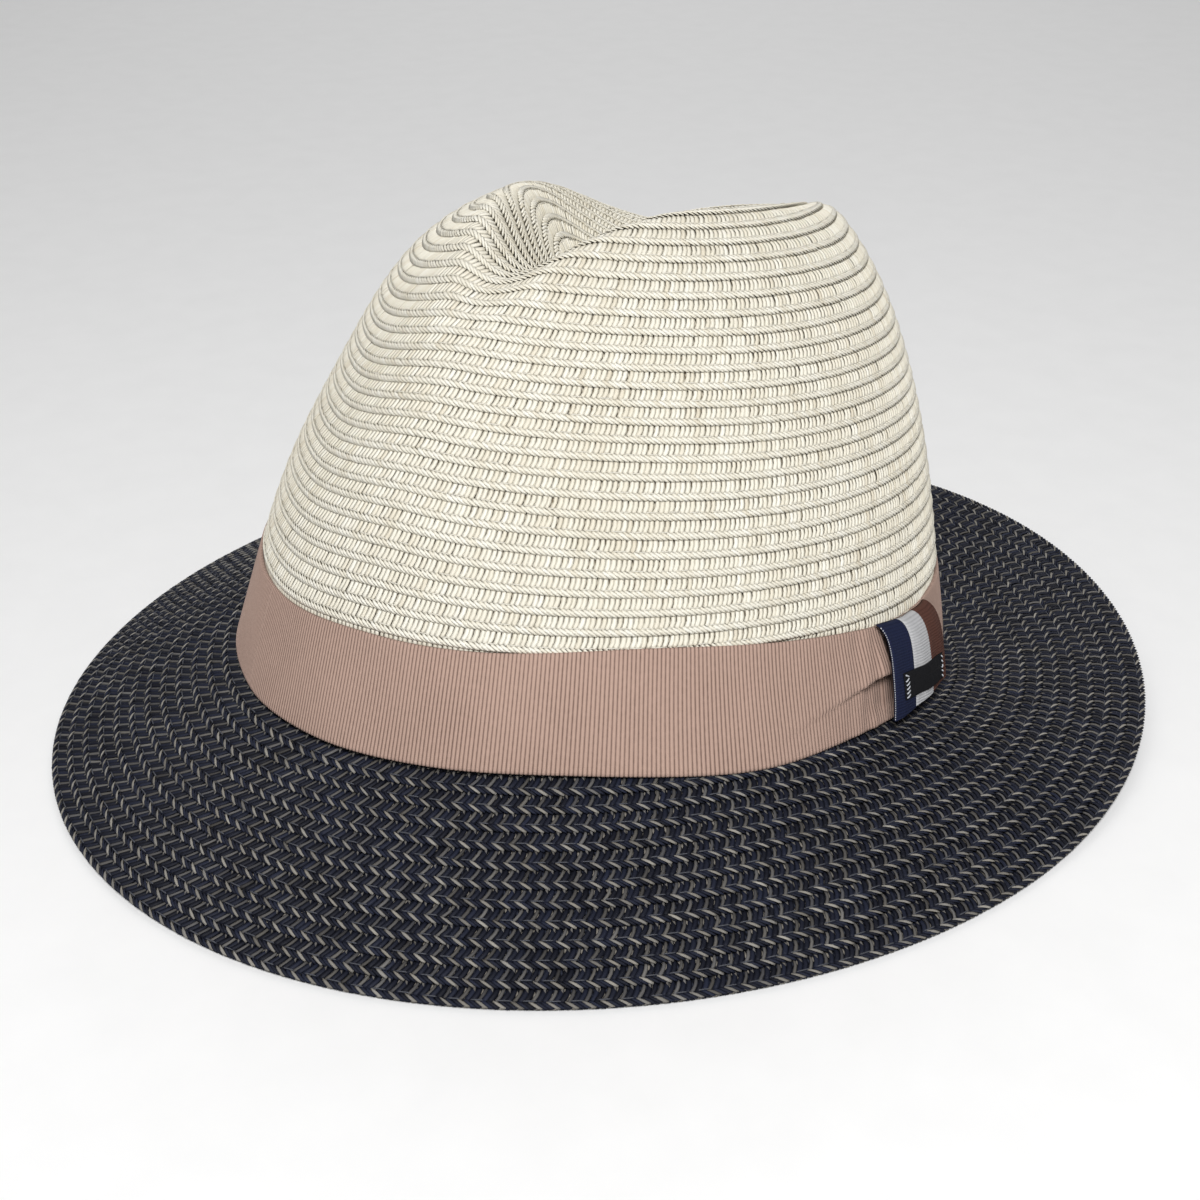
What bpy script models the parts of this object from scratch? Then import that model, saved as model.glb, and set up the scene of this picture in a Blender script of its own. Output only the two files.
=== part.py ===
"""Trilby-style fedora sewn from flat paper braid: light crown, dark brim, ribbon band with a striped loop.

Metres, +Z up. The hat stands on its brim, its front towards -Y, the wearer's left towards +X.
"""
import bpy
import bmesh
import numpy as np
from math import cos, sin, pi, radians
from mathutils import Vector

MM = 0.001

# ---------------------------------------------------------------- driving dimensions (mm, degrees)
HEAD_HALF_WIDTH = 85.1        # crown outside at the brim break, sideways
HEAD_HALF_LENGTH = 99.5       # the same, front to back
HEAD_MID_X = 5.7              # the crown sits a little off the middle of the brim
HEAD_MID_Y = -1.9
BREAK_SADDLE = 5.2            # the break dips at front and back and rises at the sides
BREAK_HEIGHT = 19.1           # middle of the break above the level of the brim's edge
CROWN_RAKE = 7.1              # the crown leans back by this angle

BRIM_OVAL_HALF_WIDTH = 89.1   # oval that the brim's edge runs parallel to
BRIM_OVAL_HALF_LENGTH = 101.8
BRIM_OVAL_HEIGHT = 16.7
BRIM_WIDTH = 55.2             # along the brim, oval to edge
EDGE_FRONT_DIP = 2.7          # edge: front lower, back higher
EDGE_SADDLE = 2.2             # edge: front and back higher than the sides
EDGE_THIRD = -0.7
EDGE_REST = -1.3              # the soft edge lies flat on the ground where it would be lower than this
BRIM_THICK = 1.7
BRIM_LAPS = 12
EDGE_FOOT = (0.985, 0.945)    # the doubled edge lap is level underneath between these, as shares of the brim
PRESSED_FLAT = 0.35

CROWN_HEIGHT = 130.6          # crown before the dent was pressed in
CROWN_POWER = 3.38            # squareness of the shoulder
CROWN_TAPER_X = 0.37          # how much narrower the crown gets towards the tip, sideways
CROWN_TAPER_Y = 0.25          # the same, front to back
CROWN_LEAN_X = -6.8
CROWN_LEAN_Y = 2.0
CROWN_THICK = 1.6
CROWN_START = 0.8             # the crown braid's rim above the break
MEAN_RADIUS = 95.0            # of the head, for spacing points along the crown's profile
SADDLE_FADE = 60.0            # the saddle of the break dies out at this height
LAP_STEP = 0.45               # how far each lap's lower edge stands proud
LAP_PITCH_LOW = 4.9           # visible width of a lap near the band
LAP_PITCH_TOP = 4.1           # and over the top
LAP_NARROWS = 80.0            # the pitch goes from one to the other over this length
LAST_LAP = 5.0                # the tip's own button takes this length
UNDER_BAND = 3.0              # laps start this far below the ribbon's top

DENT_DEPTH = 32.9             # teardrop dent pressed into the top
DENT_MID = 0.9
DENT_HALF_LENGTH = 73.6
DENT_HALF_WIDTH_FRONT = 18.0
DENT_HALF_WIDTH_BACK = 41.6
DENT_WIDENS = 1.3             # how soon the dent reaches its full width, front to back
DENT_SLOPE = 0.81             # share of the dent that is sloping side
DENT_START = 0.52             # share of the crown's height that the dent leaves alone
DENT_SETS_IN = 1.15           # how soon the dent reaches its full depth above that
DENT_TURN = 24.7              # the crease was pressed across the head by this angle
RIDGE_DROP = 10.5             # the ridge on the wearer's right is lower
RIDGE_FROM = 5.0              # the drop begins this far across from the crease
RIDGE_OVER = 40.0             # and is complete after this width
PINCH = 3.5                   # hollows each side of the front
PINCH_ACROSS = 41.6
PINCH_ALONG = -60.9
PINCH_HEIGHT = 81.4
PINCH_SPREAD_SQUARED = 1700.0
PINCH_TALL = 22.0
PINCH_IN = 0.8                # share of the pinch that pushes inwards
PINCH_BACK = 0.5              # and share that pushes back

BAND_HEIGHT = 27.6            # ribbon band
BAND_THICK = 0.7
BAND_BOTTOM = 1.2
BAND_RISE = 2.6               # its upper edge is higher on the wearer's left
BAND_RISE_ANGLE = 72.0
BAND_RISE_SPREAD = 20.0
BAND_DIP = 2.2                # and drawn down by the loop
BAND_DIP_SPREAD = 16.0
FLARE = 3.4                   # its lower edge splays out over the brim beside the loop
FLARE_ANGLE = 88.0
FLARE_SPREAD = 18.0
FLARE_SLOPE = 0.5             # and follows the slope of the brim
CLEAR = 0.35                  # gap kept between neighbouring pieces

LOOP_ANGLE = 120.3            # middle of the striped loop, from the front round the wearer's left
STRIPE_WIDTH = 9.2
LOOP_THICK = 0.9
LOOP_BULGE = 4.6
LOOP_FULLEST = 0.35           # share of its height where it stands out most
LOOP_RISE = 0.8               # the loop stands above the band
LOOP_FOOT_FRONT = 0.06        # shares of its height where its foot turns under
LOOP_FOOT_REAR = 0.22
LABEL_WIDTH = 21.0
LABEL_BOTTOM = 6.5
LABEL_HEIGHT = 7.0
LABEL_THICK = 0.6
LABEL_SET_IN = 3.4            # from the loop's front edge to the label's
SKIN_GAP = 0.3                # gap between pieces that lie on each other
STITCH_INSET = 1.1            # from the label's end to the stitches
STITCH_WIDTH = 0.6
STITCH_THICK = 0.35
STITCH_MARGIN = 1.0           # the stitches stop this short of the label's long edges

SWEAT_HEIGHT = 32.0           # inner sweatband
SWEAT_THICK = 0.8
SWEAT_BOTTOM = 1.6
TAPE_STEP = 3.0               # the join tape is four of these wide
TAPE_THICK = 0.6
TAPE_MARGIN = 1.0             # and stops this short of the sweatband's edges

HEAD_SEGMENTS = 44            # crown, ribbon and sweatband
BRIM_SEGMENTS = 48


# ---------------------------------------------------------------- shape of the hat
def ease(x):
    x = np.clip(x, 0.0, 1.0)
    return x * x * (3.0 - 2.0 * x)


def rake(x, y, z):
    """Lean from the crown's own axes to the standing hat."""
    c, s = cos(radians(CROWN_RAKE)), sin(radians(CROWN_RAKE))
    return np.stack([x, y * c + z * s, -y * s + z * c + BREAK_HEIGHT], -1)


# rim-to-tip profile: height and half-axis factors, with v the share of the way along it
_turn = np.linspace(0.0, pi / 2, 400)
_in = np.clip(np.cos(_turn), 0.0, 1.0) ** (2.0 / CROWN_POWER)
_up = np.sin(_turn) ** (2.0 / CROWN_POWER)
PROFILE_H = CROWN_HEIGHT * _up
PROFILE_X = _in * (1.0 - CROWN_TAPER_X * _up)
PROFILE_Y = _in * (1.0 - CROWN_TAPER_Y * _up)
_step = np.hypot(np.diff(PROFILE_H), np.diff(PROFILE_X) * MEAN_RADIUS)
PROFILE_V = np.concatenate([[0.0], np.cumsum(_step)])
PROFILE_V /= PROFILE_V[-1]


def share_at(height):
    """Share of the way from rim to tip at a height above the break."""
    return np.interp(height, PROFILE_H, PROFILE_V)


def crown_surface(phi, v):
    """Outer face of the crown; phi 0 at the front, growing round the wearer's left."""
    h = np.interp(v, PROFILE_V, PROFILE_H)
    t = h / CROWN_HEIGHT
    x = HEAD_HALF_WIDTH * np.interp(v, PROFILE_V, PROFILE_X) * np.sin(phi) + CROWN_LEAN_X * t + HEAD_MID_X
    y = -HEAD_HALF_LENGTH * np.interp(v, PROFILE_V, PROFILE_Y) * np.cos(phi) + CROWN_LEAN_Y * t + HEAD_MID_Y
    z = h - BREAK_SADDLE * np.cos(2 * phi) * (1 - ease(h / SADDLE_FADE))
    c, s = cos(radians(DENT_TURN)), sin(radians(DENT_TURN))
    across, along = x * c + y * s, -x * s + y * c
    share = (along - DENT_MID) / DENT_HALF_LENGTH
    widen = ease((share + 1) / 2 * DENT_WIDENS)
    half = DENT_HALF_WIDTH_FRONT + (DENT_HALF_WIDTH_BACK - DENT_HALF_WIDTH_FRONT) * widen
    inside = ease((1 - np.hypot(across / half, share)) / DENT_SLOPE)
    z = z - DENT_DEPTH * inside * ease((t - DENT_START) / (1 - DENT_START) * DENT_SETS_IN)
    z = z - RIDGE_DROP * ease((RIDGE_FROM - across) / RIDGE_OVER) * t
    for side in (1, -1):
        apart = (across - side * PINCH_ACROSS) ** 2 + (along - PINCH_ALONG) ** 2
        e = np.exp(-apart / PINCH_SPREAD_SQUARED - ((h - PINCH_HEIGHT) / PINCH_TALL) ** 2 / 2)
        across = across - side * PINCH * PINCH_IN * e
        along = along + PINCH * PINCH_BACK * e
    return rake(across * c - along * s, across * s + along * c, z)


def surface_normal(surface, phi, v):
    d = 1e-3
    du = surface(phi + d, v) - surface(phi - d, v)
    lo, hi = np.maximum(v - d, 0.0), np.minimum(v + d, 1.0)
    n = np.cross(du, surface(phi, hi) - surface(phi, lo))
    return n / np.maximum(np.linalg.norm(n, axis=-1, keepdims=True), 1e-12)


def break_ring(phi):
    return rake(HEAD_HALF_WIDTH * np.sin(phi) + HEAD_MID_X, -HEAD_HALF_LENGTH * np.cos(phi) + HEAD_MID_Y,
                -BREAK_SADDLE * np.cos(2 * phi))


def oval_out(phi, half_width, half_length):
    """Level direction straight out from an oval."""
    n = np.stack([half_length * np.sin(phi), -half_width * np.cos(phi), 0 * phi], -1)
    return n / np.linalg.norm(n, axis=-1, keepdims=True)


def edge_ring(phi):
    """The brim's outer edge: a fixed distance down and out from its oval."""
    oval = rake(BRIM_OVAL_HALF_WIDTH * np.sin(phi), -BRIM_OVAL_HALF_LENGTH * np.cos(phi),
                -BREAK_SADDLE * np.cos(2 * phi))
    oval[..., 2] += BRIM_OVAL_HEIGHT - BREAK_HEIGHT
    edge_z = -EDGE_FRONT_DIP * np.cos(phi) + EDGE_SADDLE * np.cos(2 * phi) + EDGE_THIRD * np.cos(3 * phi)
    edge_z = np.maximum(edge_z, EDGE_REST)
    reach = np.sqrt(BRIM_WIDTH ** 2 - (edge_z - oval[..., 2]) ** 2)
    p = oval + oval_out(phi, BRIM_OVAL_HALF_WIDTH, BRIM_OVAL_HALF_LENGTH) * reach[..., None]
    p[..., 2] = edge_z
    return p


def brim_surface(phi, u):
    """Upper face of the brim; u 0 at the break, 1 at the edge, a little below 0 under the crown."""
    base, edge = break_ring(phi), edge_ring(phi)
    out = oval_out(phi, HEAD_HALF_WIDTH, HEAD_HALF_LENGTH)
    # under the crown the brim lies in the plane of the break
    level = out * BRIM_WIDTH
    level[..., 2] = -np.tan(radians(CROWN_RAKE)) * level[..., 1]
    u = u[..., None]
    return base + np.where(u > 0, (edge - base) * u, level * u)


def lap_edges():
    """Rim-to-tip positions of the crown's lap edges, closer together over the top."""
    v = np.linspace(0, 1, 1201)
    p = np.stack([crown_surface(np.full_like(v, a), v) for a in (0.5, 1.6, 2.7, 4.0, 5.2)])
    s = np.concatenate([[0], np.cumsum(np.linalg.norm(np.diff(p, axis=1), axis=-1).mean(0))])
    edges, at = [], 0.0
    while at < s[-1] - LAST_LAP:
        edges.append(np.interp(at, s, v))
        at += LAP_PITCH_LOW + (LAP_PITCH_TOP - LAP_PITCH_LOW) * min(1.0, at / LAP_NARROWS)
    return edges


# the hat is set down with the foot of its edge pressed a little flat at z = 0, and its outline is centred
_around = np.linspace(0, 2 * pi, 721)
_outline = edge_ring(_around)
_middle = (_outline.max(axis=0) + _outline.min(axis=0)) / 2
_lowest = brim_surface(_around, np.full_like(_around, EDGE_FOOT[0]))[:, 2].min()
SIT = np.array([-_middle[0], -_middle[1], BRIM_THICK - PRESSED_FLAT - _lowest])


# ---------------------------------------------------------------- building blocks
def make_object(name, verts, faces, material, smooth=True):
    mesh = bpy.data.meshes.new(name)
    bm = bmesh.new()
    vs = [bm.verts.new(Vector(p)) for p in verts]
    for f in faces:
        bm.faces.new([vs[i] for i in f])
    bmesh.ops.recalc_face_normals(bm, faces=bm.faces)
    bmesh.ops.triangulate(bm, faces=bm.faces)
    if bm.calc_volume(signed=True) < 0:
        bmesh.ops.reverse_faces(bm, faces=bm.faces)
    bm.to_mesh(mesh)
    bm.free()
    mesh.materials.append(material)
    for p in mesh.polygons:
        p.use_smooth = smooth
    ob = bpy.data.objects.new(name, mesh)
    bpy.context.scene.collection.objects.link(ob)
    return ob


def paint(name, colour, roughness, metallic=0.0):
    m = bpy.data.materials.new(name)
    m.use_nodes = True
    b = m.node_tree.nodes["Principled BSDF"]
    b.inputs["Base Color"].default_value = (*colour, 1.0)
    b.inputs["Roughness"].default_value = roughness
    b.inputs["Metallic"].default_value = metallic
    return m


def lathe(name, rings, material, cap_start=None, cap_end=None):
    """Skin a list of closed rings into one body. Without caps the last ring joins the first."""
    n = len(rings[0])
    verts = [tuple(p) for r in rings for p in r]
    faces = []
    last = len(rings) if cap_start is None else len(rings) - 1
    for k in range(last):
        a, b = k * n, ((k + 1) % len(rings)) * n
        for i in range(n):
            j = (i + 1) % n
            faces.append((a + i, a + j, b + j, b + i))
    for cap, k in ((cap_start, 0), (cap_end, len(rings) - 1)):
        if cap is not None:
            verts.append(tuple(cap))
            c = len(verts) - 1
            for i in range(n):
                faces.append((k * n + i, k * n + (i + 1) % n, c))
    return make_object(name, verts, faces, material)


def strip(name, sections, material):
    """Skin open cross-sections, each a closed loop of points, and cap both ends."""
    n = len(sections[0])
    verts = [tuple(p) for s in sections for p in s]
    faces = [tuple(range(n)), tuple(range((len(sections) - 1) * n, len(sections) * n))]
    for k in range(len(sections) - 1):
        for i in range(n):
            j = (i + 1) % n
            faces.append((k * n + i, k * n + j, (k + 1) * n + j, (k + 1) * n + i))
    return make_object(name, verts, faces, material)


def seat(points):
    """From the crown's coordinates to the standing hat, in metres, nothing below the ground."""
    q = (np.asarray(points) + SIT) * MM
    q[..., 2] = np.maximum(q[..., 2], 0.0)
    return q


def wall_point(phi, height, out):
    """A point beside the crown wall at a height above the break, out from the crown's outer face."""
    phi = np.asarray(phi, float)
    v = np.full_like(phi, share_at(height))
    return crown_surface(phi, v) + surface_normal(crown_surface, phi, v) * np.asarray(out)[..., None]


# ---------------------------------------------------------------- pieces
def build_crown(material):
    phi = np.linspace(0, 2 * pi, HEAD_SEGMENTS, endpoint=False)
    under_band = share_at(BAND_HEIGHT - UNDER_BAND)
    start = share_at(CROWN_START)
    laps = [v for v in lap_edges() if v > under_band]

    def ring(v, depth):
        v = np.full_like(phi, v)
        return crown_surface(phi, v) - surface_normal(crown_surface, phi, v) * depth

    outer = [ring(start, 0.0), ring(under_band, 0.0)]
    for v in laps:
        outer.append(ring(v, LAP_STEP))              # tucked under the lap above
        outer.append(ring(v + 0.0015, 0.0))
    wall = [start + (laps[0] - start) * k / 3 for k in range(3)]
    dent_from = share_at(CROWN_HEIGHT * 0.45)
    inner_levels = wall + [v for k, v in enumerate(laps) if v > dent_from or k % 3 == 0]
    inner = [ring(v, CROWN_THICK) for v in inner_levels]
    tip = crown_surface(np.array([0.0]), np.array([1.0]))[0]
    return lathe("crown_braid", [seat(r) for r in inner[::-1] + outer], material,
                 cap_start=seat(tip - np.array([0.0, 0.0, CROWN_THICK])), cap_end=seat(tip))


def build_brim(material):
    phi = np.linspace(0, 2 * pi, BRIM_SEGMENTS, endpoint=False)

    def ring(u, drop):
        p = brim_surface(phi, np.full_like(phi, u))
        p[..., 2] -= drop
        return p

    inner_u = -2.6 / BRIM_WIDTH
    top = [ring(inner_u, 0.0), ring(0.0, 0.0)]
    for k in range(1, BRIM_LAPS):
        u = k / BRIM_LAPS
        top.append(ring(u, 0.0))
        top.append(ring(u + 0.006, LAP_STEP))
    top.append(ring(EDGE_FOOT[0], 0.0))
    top.append(ring(1.0, BRIM_THICK * 0.45))
    foot = ring(EDGE_FOOT[0], BRIM_THICK)
    heel = ring(EDGE_FOOT[1], BRIM_THICK)
    heel[..., 2] = foot[..., 2]
    under = [foot, heel] + [ring(u, BRIM_THICK) for u in (0.935, 0.72, 0.48, 0.24, inner_u)]
    return lathe("brim_braid", [seat(r) for r in top + under], material)


def around(phi, angle, spread):
    """A soft rise and fall round the crown, 1 at an angle and gone well before twice its spread."""
    away = (phi - radians(angle) + pi) % (2 * pi) - pi
    return np.exp(-(away / radians(spread)) ** 2)


def on_band(phi, share_up, out, top):
    """A point of the ribbon or its loop: share_up its height and out from the crown, splayed at the foot."""
    h = BAND_BOTTOM + (top - BAND_BOTTOM) * share_up
    v = share_at(h)
    foot = (1 - share_up) ** 2
    splay = FLARE * around(phi, FLARE_ANGLE, FLARE_SPREAD) * foot
    p = crown_surface(phi, v) + surface_normal(crown_surface, phi, v) * out[..., None]
    p = p + oval_out(phi, HEAD_HALF_WIDTH, HEAD_HALF_LENGTH) * splay[..., None]
    p[..., 2] -= FLARE_SLOPE * splay
    return p


def band_top(phi):
    rise = BAND_RISE * around(phi, BAND_RISE_ANGLE, BAND_RISE_SPREAD)
    return BAND_HEIGHT + rise - BAND_DIP * around(phi, LOOP_ANGLE, BAND_DIP_SPREAD)


def build_band(material):
    phi = np.linspace(0, 2 * pi, HEAD_SEGMENTS, endpoint=False)
    shares = (0.0, 0.2, 0.45, 0.7, 1.0)

    def ring(share, out):
        return on_band(phi, np.full_like(phi, share), np.full_like(phi, out), band_top(phi))

    inner = [ring(s, CLEAR) for s in shares]
    outer = [ring(s, CLEAR + BAND_THICK) for s in shares]
    return lathe("hatband", [seat(r) for r in inner + outer[::-1]], material)


def loop_out(share_up):
    """How far the loop stands off the crown wall; its top is drawn in, its foot stays out."""
    above = np.clip((share_up - LOOP_FULLEST) / (1 - LOOP_FULLEST), 0, 1)
    below = np.clip((LOOP_FULLEST - share_up) / LOOP_FULLEST, 0, 1)
    return 2 * CLEAR + BAND_THICK + LOOP_BULGE * np.sqrt(1 - above ** 4) * (1 - 0.15 * below ** 2)


def loop_angle(offset):
    """Angle round the crown of a point a given distance (mm) round from the loop's middle."""
    phi0 = radians(LOOP_ANGLE)
    r = np.hypot(HEAD_HALF_WIDTH * cos(phi0), HEAD_HALF_LENGTH * sin(phi0))
    return phi0 + offset / r


def foot_share(offset):
    """Share of the loop's height where its foot is, higher towards the back."""
    along = offset / (3 * STRIPE_WIDTH) + 0.5
    return LOOP_FOOT_FRONT + (LOOP_FOOT_REAR - LOOP_FOOT_FRONT) * min(max(along, 0.0), 1.0)


def patch(name, a0, a1, s0, s1, lift, thick, material, nu=6, nv=10):
    """A strip lying on the loop: a0..a1 round the crown in mm, s0..s1 shares of the loop's height."""
    sections = []
    for i in range(nu + 1):
        a = a0 + (a1 - a0) * i / nu
        s = np.linspace(max(s0, foot_share(a)), s1, nv + 1)
        phi = np.full_like(s, loop_angle(a))
        top = band_top(phi) + LOOP_RISE
        back = on_band(phi, s, loop_out(s) + lift, top)
        front = on_band(phi, s, loop_out(s) + lift + thick, top)
        sections.append(seat(np.concatenate([back, front[::-1]])))
    return strip(name, sections, material)


def build_loop(mats):
    half = STRIPE_WIDTH * 1.5
    height = BAND_HEIGHT + LOOP_RISE - BAND_BOTTOM
    for k, name in enumerate(("trim_stripe_navy", "trim_stripe_white", "trim_stripe_brown")):
        a0 = -half + k * STRIPE_WIDTH
        patch(name, a0 + SKIN_GAP / 2, a0 + STRIPE_WIDTH - SKIN_GAP / 2, 0.0, 1.0, 0.0, LOOP_THICK,
              mats[name])
    label0 = -half + LABEL_SET_IN
    lift = LOOP_THICK + SKIN_GAP
    low, high = LABEL_BOTTOM / height, (LABEL_BOTTOM + LABEL_HEIGHT) / height
    margin = STITCH_MARGIN / height
    patch("trim_label", label0, label0 + LABEL_WIDTH, low, high, lift, LABEL_THICK, mats["trim_label"],
          nu=8, nv=3)
    lift += LABEL_THICK + SKIN_GAP
    rear = label0 + LABEL_WIDTH - STITCH_INSET - STITCH_WIDTH
    for name, at in (("label_stitch_front", label0 + STITCH_INSET), ("label_stitch_rear", rear)):
        patch(name, at, at + STITCH_WIDTH, low + margin, high - margin, lift, STITCH_THICK, mats[name],
              nu=1, nv=3)


def build_sweatband(material, join_material):
    phi = np.linspace(0, 2 * pi, HEAD_SEGMENTS, endpoint=False)
    inside = -(CROWN_THICK + CLEAR)
    levels = (SWEAT_BOTTOM, SWEAT_BOTTOM + 11, SWEAT_BOTTOM + 22, SWEAT_BOTTOM + SWEAT_HEIGHT)
    outer = [wall_point(phi, h, np.full_like(phi, inside)) for h in levels]
    inner = [wall_point(phi, h, np.full_like(phi, inside - SWEAT_THICK)) for h in levels]
    lathe("sweatband", [seat(r) for r in outer + inner[::-1]], material)
    # narrow tape sewn over the sweatband's join at the back
    sections = []
    for i in range(5):
        ang = pi + (i - 2) * TAPE_STEP / HEAD_HALF_WIDTH
        hs = np.linspace(SWEAT_BOTTOM + TAPE_MARGIN, SWEAT_BOTTOM + SWEAT_HEIGHT - TAPE_MARGIN, 5)
        ph = np.full_like(hs, ang)
        v = share_at(hs)
        p, n = crown_surface(ph, v), surface_normal(crown_surface, ph, v)
        a = inside - SWEAT_THICK - SKIN_GAP
        sections.append(seat(np.concatenate([p + n * a, (p + n * (a - TAPE_THICK))[::-1]])))
    strip("sweatband_join_tape", sections, join_material)


def main():
    for ob in list(bpy.data.objects):
        bpy.data.objects.remove(ob, do_unlink=True)
    straw = paint("crown_braid", (0.78, 0.74, 0.62), 0.62)
    brim = paint("brim_braid", (0.022, 0.024, 0.036), 0.6)
    band = paint("hatband", (0.41, 0.27, 0.21), 0.72)
    mats = {
        "trim_stripe_navy": paint("trim_stripe_navy", (0.012, 0.018, 0.055), 0.75),
        "trim_stripe_white": paint("trim_stripe_white", (0.62, 0.62, 0.63), 0.75),
        "trim_stripe_brown": paint("trim_stripe_brown", (0.085, 0.038, 0.028), 0.75),
        "trim_label": paint("trim_label", (0.010, 0.010, 0.012), 0.6),
        "label_stitch_front": paint("label_stitch_front", (0.55, 0.55, 0.55), 0.7),
        "label_stitch_rear": paint("label_stitch_rear", (0.55, 0.55, 0.55), 0.7),
    }
    build_crown(straw)
    build_brim(brim)
    build_band(band)
    build_loop(mats)
    build_sweatband(paint("sweatband", (0.030, 0.030, 0.034), 0.8),
                    paint("sweatband_join_tape", (0.020, 0.020, 0.023), 0.7))


main()
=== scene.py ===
"""Looks of the fedora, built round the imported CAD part.

Real braid strands, a ribbon, a striped loop, a label and a sweatband. Lengths are in millimetres in the hat's
own shape functions, and in metres once a piece is made.
"""

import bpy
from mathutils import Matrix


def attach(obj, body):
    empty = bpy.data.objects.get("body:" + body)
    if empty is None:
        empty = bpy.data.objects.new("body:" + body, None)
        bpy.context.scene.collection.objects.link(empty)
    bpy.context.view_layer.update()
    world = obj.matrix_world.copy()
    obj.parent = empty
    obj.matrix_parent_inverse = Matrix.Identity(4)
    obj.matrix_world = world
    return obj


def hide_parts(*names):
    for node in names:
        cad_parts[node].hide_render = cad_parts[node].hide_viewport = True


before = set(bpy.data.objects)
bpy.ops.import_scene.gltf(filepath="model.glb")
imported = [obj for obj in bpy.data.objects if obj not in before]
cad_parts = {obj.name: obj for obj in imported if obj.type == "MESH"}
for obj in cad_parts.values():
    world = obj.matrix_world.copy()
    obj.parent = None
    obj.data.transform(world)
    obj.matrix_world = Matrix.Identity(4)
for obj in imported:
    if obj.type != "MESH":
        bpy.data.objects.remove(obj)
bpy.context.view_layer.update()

from math import cos, pi, radians, sin

import bpy
import numpy as np
from mathutils import Matrix, Vector

MM = 0.001
RNG = np.random.default_rng(7)
FLOOR_GAP = 0.0002             # metres; no piece comes lower than this

# ---------------------------------------------------------------- shape of the hat (mm, degrees)
# The CAD's own values, but for BAND_BOTTOM: the soft foot of the ribbon reaches 0.6 mm lower than the solid.
HEAD_HALF_WIDTH, HEAD_HALF_LENGTH = 85.1, 99.5
HEAD_MID_X, HEAD_MID_Y = 5.7, -1.9
BREAK_SADDLE, BREAK_HEIGHT, CROWN_RAKE = 5.2, 19.1, 7.1
BRIM_OVAL_HALF_WIDTH, BRIM_OVAL_HALF_LENGTH, BRIM_OVAL_HEIGHT = 89.1, 101.8, 16.7
BRIM_WIDTH, EDGE_FRONT_DIP, EDGE_SADDLE, EDGE_THIRD, EDGE_REST = 55.2, 2.7, 2.2, -0.7, -1.3
BRIM_THICK, BRIM_LAPS = 1.7, 12
EDGE_FOOT, PRESSED_FLAT = 0.985, 0.35
CROWN_HEIGHT, CROWN_POWER, CROWN_TAPER_X, CROWN_TAPER_Y = 130.6, 3.38, 0.37, 0.25
CROWN_LEAN_X, CROWN_LEAN_Y, CROWN_THICK, CROWN_START = -6.8, 2.0, 1.6, 0.8
MEAN_RADIUS, SADDLE_FADE = 95.0, 60.0
LAP_PITCH_LOW, LAP_PITCH_TOP, LAP_NARROWS, LAST_LAP = 4.9, 4.1, 80.0, 5.0
DENT_DEPTH, DENT_MID, DENT_HALF_LENGTH = 32.9, 0.9, 73.6
DENT_HALF_WIDTH_FRONT, DENT_HALF_WIDTH_BACK, DENT_WIDENS = 18.0, 41.6, 1.3
DENT_SLOPE, DENT_START, DENT_SETS_IN, DENT_TURN = 0.81, 0.52, 1.15, 24.7
RIDGE_DROP, RIDGE_FROM, RIDGE_OVER = 10.5, 5.0, 40.0
PINCH, PINCH_ACROSS, PINCH_ALONG, PINCH_HEIGHT = 3.5, 41.6, -60.9, 81.4
PINCH_SPREAD_SQUARED, PINCH_TALL, PINCH_IN, PINCH_BACK = 1700.0, 22.0, 0.8, 0.5
BAND_HEIGHT, BAND_BOTTOM, BAND_RISE, BAND_RISE_ANGLE, BAND_RISE_SPREAD = 27.6, 0.6, 2.6, 72.0, 20.0
BAND_DIP, BAND_DIP_SPREAD = 2.2, 16.0
FLARE, FLARE_ANGLE, FLARE_SPREAD, FLARE_SLOPE = 3.4, 88.0, 18.0, 0.5
LOOP_FOOT_FRONT, LOOP_FOOT_REAR = 0.06, 0.22
LOOP_ANGLE, LOOP_RISE, LOOP_WIDTH, LOOP_BULGE, LOOP_FULLEST = 120.3, 0.8, 27.6, 4.6, 0.35
SWEAT_HEIGHT, SWEAT_BOTTOM = 32.0, 1.6


def ease(x):
    x = np.clip(x, 0.0, 1.0)
    return x * x * (3.0 - 2.0 * x)


def rake(x, y, z):
    """Lean from the crown's own axes to the standing hat."""
    c, s = cos(radians(CROWN_RAKE)), sin(radians(CROWN_RAKE))
    return np.stack([x, y * c + z * s, -y * s + z * c + BREAK_HEIGHT], -1)


_turn = np.linspace(0.0, pi / 2, 400)
_in = np.clip(np.cos(_turn), 0.0, 1.0) ** (2.0 / CROWN_POWER)
_up = np.sin(_turn) ** (2.0 / CROWN_POWER)
PROFILE_H = CROWN_HEIGHT * _up
PROFILE_X = _in * (1.0 - CROWN_TAPER_X * _up)
PROFILE_Y = _in * (1.0 - CROWN_TAPER_Y * _up)
_step = np.hypot(np.diff(PROFILE_H), np.diff(PROFILE_X) * MEAN_RADIUS)
PROFILE_V = np.concatenate([[0.0], np.cumsum(_step)])
PROFILE_V /= PROFILE_V[-1]


def share_at(height):
    """Share of the way from rim to tip at a height above the break."""
    return np.interp(height, PROFILE_H, PROFILE_V)


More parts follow.
